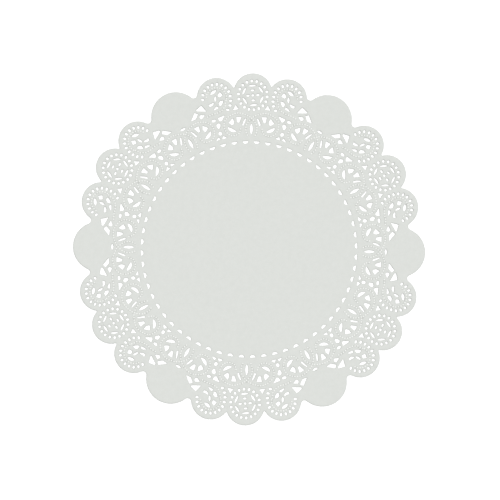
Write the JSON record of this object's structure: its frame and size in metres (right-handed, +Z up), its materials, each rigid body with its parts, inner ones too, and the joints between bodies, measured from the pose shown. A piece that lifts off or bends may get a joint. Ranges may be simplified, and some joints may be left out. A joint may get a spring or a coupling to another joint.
{
  "type": "paper doily",
  "caption": "Round lace paper doily: a plain centre for cake or a cup, a die-cut and embossed lace border and a scalloped rim.",
  "frame": {"origin": "middle of the underside, on the surface that the sheet lies on", "axes": "+Z up through the sheet's thickness, +Y from the middle to the top of a medallion lobe"},
  "size_m": [0.254, 0.254, 0.0001],
  "materials": {
    "paper": "matt uncoated white paper with fine fibre"
  },
  "bodies": {
    "root": {"doily_sheet": "paper"}
  },
  "joints": []
}
